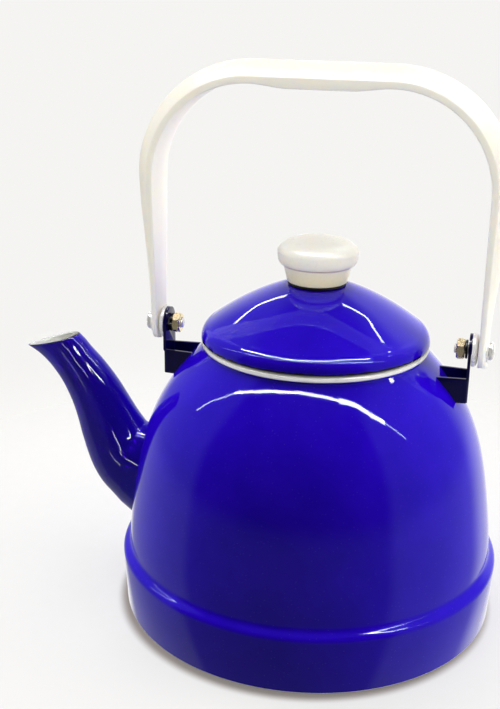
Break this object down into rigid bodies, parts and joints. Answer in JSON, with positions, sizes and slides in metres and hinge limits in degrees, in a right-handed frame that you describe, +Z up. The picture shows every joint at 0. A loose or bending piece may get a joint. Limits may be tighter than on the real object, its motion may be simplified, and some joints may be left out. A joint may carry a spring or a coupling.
{
  "type": "enamel teapot",
  "caption": "Enamelled steel kettle with a stepped foot band, a gooseneck spout, a domed lift-off lid with a moulded knob, and a bail handle pivoted in bracket ears.",
  "frame": {"origin": "centre of the flat underside of the base, on the kettle's axis", "axes": "+Z up, along the axis of the turned body; the spout points to -X; the bail turns about the line through the ears, along X"},
  "size_m": [0.2647, 0.2034, 0.2867],
  "materials": {
    "blue_enamel": "deep glossy vitreous enamel, ultramarine",
    "navy_enamel": "glossy enamel, nearly black navy",
    "pale_enamel": "glossy off-white enamel",
    "polished_steel": "mirror polished",
    "yellow_zinc": "bright yellow plating",
    "black_zinc": "black plated spring steel",
    "cream_plastic": "satin moulded plastic, cream white",
    "black_rubber": "matt"
  },
  "bodies": {
    "kettle": {"body_shell": "blue_enamel", "base_plate": "blue_enamel", "mouth_ring": "polished_steel", "spout": "blue_enamel", "front_ear": "navy_enamel", "front_pivot_screw": "polished_steel", "front_screw_washer": "polished_steel", "front_domed_washer": "polished_steel", "front_lock_washer": "black_zinc", "front_nut": "yellow_zinc", "rear_ear": "navy_enamel", "rear_pivot_screw": "polished_steel", "rear_screw_washer": "polished_steel", "rear_domed_washer": "polished_steel", "rear_lock_washer": "black_zinc", "rear_nut": "yellow_zinc"},
    "bail": {"bail_handle": "cream_plastic"},
    "lid": {"lid_shell": "blue_enamel", "lid_skirt": "pale_enamel", "knob_gasket": "black_rubber", "knob": "cream_plastic", "knob_insert": "yellow_zinc", "knob_screw": "polished_steel", "knob_screw_washer": "polished_steel"}
  },
  "joints": [
    {"name": "bail_swing", "type": "hinge", "parent": "kettle", "child": "bail", "pos_m": [0, 0, 0.1484], "axis": [1, 0, 0], "range_deg": [-123, 123]},
    {"name": "lid_lift", "type": "slide", "parent": "kettle", "child": "lid", "axis": [0, 0, 1], "range_m": [0, 0.06]}
  ]
}
